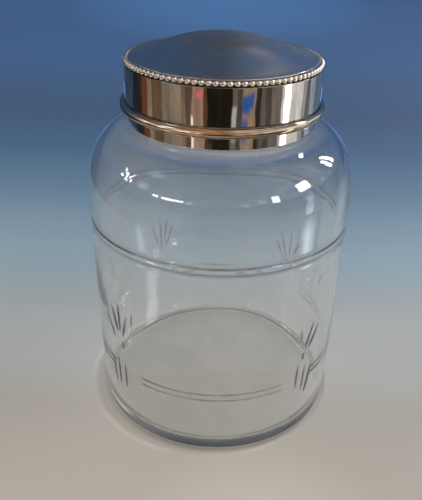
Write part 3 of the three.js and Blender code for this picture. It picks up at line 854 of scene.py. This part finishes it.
turn = t.math("ADD", turn, t.math("MULTIPLY", t.math("SUBTRACT", wob, 0.5), 0.016))
turn = t.math("ADD", turn, t.math("MULTIPLY", t.math("SUBTRACT", wob2, 0.5), 0.008))
ramp = t.node("ShaderNodeValToRGB", Fac=turn)
ramp.color_ramp.interpolation = "CONSTANT"
els = ramp.color_ramp.elements
els[0].position, els[0].color = 0.0, rgb(*STRIPES[0][1])
els[1].position, els[1].color = (STRIPES[1][0] + 180) / 360, rgb(*STRIPES[1][1])
for a, c in STRIPES[2:]:
    e = els.new((a + 180) / 360)
    e.color = rgb(*c)
cloudy = t.span(t.noise(t.scaled(v, 22.0, 22.0, 30.0), 1.0, 4.0, 0.65), 0.3, 0.7, 0.62, 1.3)
e = t.node("ShaderNodeEmission", Color=ramp.outputs["Color"], Strength=t.math("MULTIPLY", cloudy, t.span(sep.outputs[2], 0.098, 0.145, 1.0, 0.2)))
room = t.finish(e.outputs[0])
band("card_room", -180, 180, 0.32, 0.0, 0.150, room)

# smaller things in front of it: azimuths, heights, colour
for k, (a0, a1, z0, z1, col) in enumerate(
    [
        (21, 33, 0.0555, 0.0680, (0.025, 0.085, 0.30)),
        (21, 28.5, 0.0500, 0.056, (0.025, 0.085, 0.30)),
        (-27.5, -21.5, 0.0612, 0.0672, (0.75, 0.10, 0.16)),
        (-33.2, -30.6, 0.038, 0.0505, (0.9, 0.82, 0.74)),
        (10.5, 15, 0.030, 0.057, (0.40, 0.38, 0.35)),
        (21, 27, 0.030, 0.0455, (0.025, 0.085, 0.30)),
        (-18, -10, 0.020, 0.028, (0.05, 0.04, 0.03)),
        (-33, -30.4, 0.020, 0.034, (0.9, 0.85, 0.8)),
    ]
):
    band(f"card_small_{k}", a0, a1, 0.316, z0, z1, emission(f"card_small_{k}", col))

# the upper part of the room: warm at the front and left, dark where the viewer stands, pale at the right
t = Tree("card_upper")
v = t.coords()
sep = t.node("ShaderNodeSeparateXYZ", Vector=v)
neg_y = t.math("MULTIPLY", sep.outputs[1], -1.0)
ang = t.math("ARCTAN2", sep.outputs[0], neg_y)
big = t.noise(v, 4.0, 3.0, 0.6)
turn = t.math("ADD", t.math("DIVIDE", ang, 2 * math.pi), 0.5)
turn = t.math("ADD", turn, t.math("MULTIPLY", t.math("SUBTRACT", big, 0.5), 0.05))
ramp = t.node("ShaderNodeValToRGB", Fac=turn)
UPPER_ROOM = [
    (-180, (0.045, 0.075, 0.13)),
    (-125, (0.06, 0.08, 0.11)),
    (-100, (0.17, 0.13, 0.10)),
    (-60, (0.36, 0.26, 0.17)),
    (-30, (0.48, 0.33, 0.21)),
    (-12, (0.32, 0.21, 0.13)),
    (5, (0.26, 0.18, 0.12)),
    (20, (0.46, 0.35, 0.25)),
    (40, (0.78, 0.67, 0.55)),
    (62, (1.00, 0.92, 0.83)),
    (100, (0.90, 0.88, 0.86)),
    (114, (0.26, 0.33, 0.42)),
    (128, (0.07, 0.14, 0.26)),
    (142, (0.05, 0.11, 0.23)),
]
els = ramp.color_ramp.elements
els[0].position, els[0].color = 0.0, rgb(*UPPER_ROOM[0][1])
els[1].position, els[1].color = 1.0, rgb(*UPPER_ROOM[0][1])
for a, c in UPPER_ROOM[1:]:
    e = els.new((a + 180) / 360)
    e.color = rgb(*c)
patchy = t.span(t.noise(v, 7.0, 5.0, 0.7), 0.38, 0.66, 0.35, 1.75)
e = t.node("ShaderNodeEmission", Color=ramp.outputs["Color"], Strength=patchy)
upper_room = t.finish(e.outputs[0])
band("card_upper", -130, 140, -0.6, -3, 84, upper_room, rows=12)

# the blue sweep as the lid's satin top sees it, with a soft warm patch in it
t = Tree("card_back")
v = t.coords()
sep = t.node("ShaderNodeSeparateXYZ", Vector=v)
blot = t.noise(v, 7.0, 4.0, 0.6)
side_x = t.math("ADD", sep.outputs[0], t.math("MULTIPLY", t.math("SUBTRACT", blot, 0.5), 0.10))
ramp = t.node("ShaderNodeValToRGB", Fac=t.span(side_x, -0.30, 0.30))
els = ramp.color_ramp.elements
els[0].position, els[0].color = 0.0, rgb(0.024, 0.068, 0.155)
els[1].position, els[1].color = 1.0, rgb(0.050, 0.105, 0.240)
els.new(0.36).color = rgb(0.038, 0.058, 0.098)
els.new(0.50).color = rgb(0.034, 0.052, 0.090)
els.new(0.62).color = rgb(0.060, 0.088, 0.140)
spot = t.node("ShaderNodeVectorMath", _operation="DISTANCE", i0=v, i1=(0.158, 0.500, 0.575)).outputs["Value"]
spot = t.math("ADD", spot, t.math("MULTIPLY", t.math("SUBTRACT", blot, 0.5), 0.08))
warm = t.span(spot, 0.01, 0.11, 0.8, 0.0)
olive = t.node("ShaderNodeVectorMath", _operation="DISTANCE", i0=v, i1=(0.020, 0.510, 0.500)).outputs["Value"]
olive = t.span(t.math("ADD", olive, t.math("MULTIPLY", t.math("SUBTRACT", blot, 0.5), 0.10)), 0.02, 0.12, 0.8, 0.0)
seen = t.mix(warm, t.mix(olive, ramp.outputs["Color"], rgb(0.072, 0.062, 0.048)), rgb(0.44, 0.375, 0.325))
e = t.node("ShaderNodeEmission", Color=seen, Strength=1.0)
band("card_back", 141, 229, -0.62, -1, 74, t.finish(e.outputs[0]), rows=10)

# blue close behind on both sides, which the edges of the glass mirror at a grazing angle
t = Tree("card_rim")
v = t.coords()
sep = t.node("ShaderNodeSeparateXYZ", Vector=v)
e = t.node("ShaderNodeEmission", Color=rgb(0.16, 0.36, 0.80), Strength=t.math("MULTIPLY", t.span(sep.outputs[2], 0.0, 0.06, 0.25, 1.0), t.span(t.noise(v, 18.0, 3.0), 0.3, 0.7, 0.7, 1.2)))
rim_mat = t.finish(e.outputs[0])
band("card_rim_right", 146, 177, 0.205, 0.0, 0.090, rim_mat, rows=4)
band("card_rim_left", -177, -146, 0.205, 0.0, 0.090, rim_mat, rows=4)

# a pale upright thing at the right, low down, that the glass wall mirrors as a soft streak
t = Tree("card_streak")
v = t.coords()
sep = t.node("ShaderNodeSeparateXYZ", Vector=v)
wavy = t.math("ADD", sep.outputs[1], t.math("MULTIPLY", t.math("SUBTRACT", t.noise(v, 16.0, 2.0), 0.5), 0.02))
edge = t.math("MULTIPLY", t.span(wavy, -0.094, -0.072), t.span(wavy, -0.070, -0.036, 1.0, 0.0))
top = t.span(sep.outputs[2], 0.030, 0.058, 1.0, 0.0)
e = t.node("ShaderNodeEmission", Color=rgb(0.80, 0.92, 1.0), Strength=t.math("MULTIPLY", t.math("MULTIPLY", edge, top), 6.0))
band("card_streak", 59, 83, 0.21, 0.0, 0.060, t.finish(e.outputs[0]), rows=4)

# a fainter one at the left
t = Tree("card_streak_left")
v = t.coords()
sep = t.node("ShaderNodeSeparateXYZ", Vector=v)
wavy = t.math("ADD", sep.outputs[1], t.math("MULTIPLY", t.math("SUBTRACT", t.noise(v, 16.0, 2.0), 0.5), 0.02))
edge = t.math("MULTIPLY", t.span(wavy, -0.130, -0.112), t.span(wavy, -0.102, -0.084, 1.0, 0.0))
top = t.span(sep.outputs[2], 0.026, 0.056, 1.0, 0.0)
e = t.node("ShaderNodeEmission", Color=rgb(0.78, 0.90, 1.0), Strength=t.math("MULTIPLY", t.math("MULTIPLY", edge, top), 3.0))
both = t.node("ShaderNodeMixShader", Fac=t.math("MULTIPLY", edge, top))
t.nt.links.new(t.node("ShaderNodeBsdfTransparent").outputs[0], both.inputs[1])
t.nt.links.new(e.outputs[0], both.inputs[2])
band("card_streak_left", -70, -48, 0.21, 0.0, 0.060, t.finish(both.outputs[0]), rows=4)

# soft pale and warm blotches of the room in the shoulder of the glass: azimuth, elevation, reach, colour
for k, (a, e_, reach_, col) in enumerate(
    [(-66, 14, 0.085, (2.6, 3.0, 3.4)), (-68, 40, 0.11, (2.0, 2.4, 2.8)), (-24, 6, 0.050, (4.4, 3.0, 2.5)), (19, 4, 0.080, (2.2, 2.3, 2.2)),
     (34, 9, 0.060, (2.8, 2.6, 2.3)), (2, -2, 0.070, (1.4, 1.5, 1.4)), (95, 10, 0.060, (1.6, 1.9, 2.3))]
):
    mid = Vector((0.55 * math.sin(rad(a)) * math.cos(rad(e_)), -0.55 * math.cos(rad(a)) * math.cos(rad(e_)), 0.14 + 0.55 * math.sin(rad(e_))))
    t = Tree(f"card_blotch_{k}")
    v = t.coords()
    far_off = t.node("ShaderNodeVectorMath", _operation="DISTANCE", i0=v, i1=tuple(mid)).outputs["Value"]
    far_off = t.math("ADD", far_off, t.math("MULTIPLY", t.math("SUBTRACT", t.noise(v, 26.0, 3.0), 0.5), reach_ * 0.7))
    glow = t.node("ShaderNodeEmission", Color=rgb(*col), Strength=t.span(far_off, reach_ * 0.35, reach_, 1.0, 0.0))
    clear = t.node("ShaderNodeBsdfTransparent")
    both = t.node("ShaderNodeMixShader", Fac=t.span(far_off, reach_ * 0.35, reach_, 1.0, 0.0))
    t.nt.links.new(clear.outputs[0], both.inputs[1])
    t.nt.links.new(glow.outputs[0], both.inputs[2])
    wide = math.degrees(reach_ / 0.55) * 1.3
    band(f"card_blotch_{k}", a - wide, a + wide, -0.55, max(e_ - wide, -8), e_ + wide, t.finish(both.outputs[0]), rows=4)

# small bright things close to the lid that glint in the glass beside the neck
for k, (centre, w, h) in enumerate([((0.0730, 0.0035, 0.1806), 0.0080, 0.0035)]):
    c = Vector(centre)
    away = (c - Vector((0.029, -0.024, 0.1265))).normalized()
    sx = away.cross(Vector((0, 0, 1))).normalized() * w
    sz = sx.cross(away).normalized() * h
    card(f"card_glint_{k}", [tuple(c - sx - sz), tuple(c + sx - sz * 0.7), tuple(c + sx * 0.8 + sz), tuple(c - sx + sz * 0.8)], [(0, 1, 2, 3)], emission(f"card_glint_{k}", (1.0, 0.98, 0.95), 22.0))

sc = bpy.context.scene
sc.view_settings.view_transform = "Standard"
sc.view_settings.look = "None"
sc.cycles.max_bounces = 32
sc.cycles.transmission_bounces = 32
sc.cycles.glossy_bounces = 32
sc.cycles.caustics_refractive = False
sc.cycles.caustics_reflective = False
sc.cycles.sample_clamp_indirect = 24.0
jar.visible_shadow = jar.visible_diffuse = False
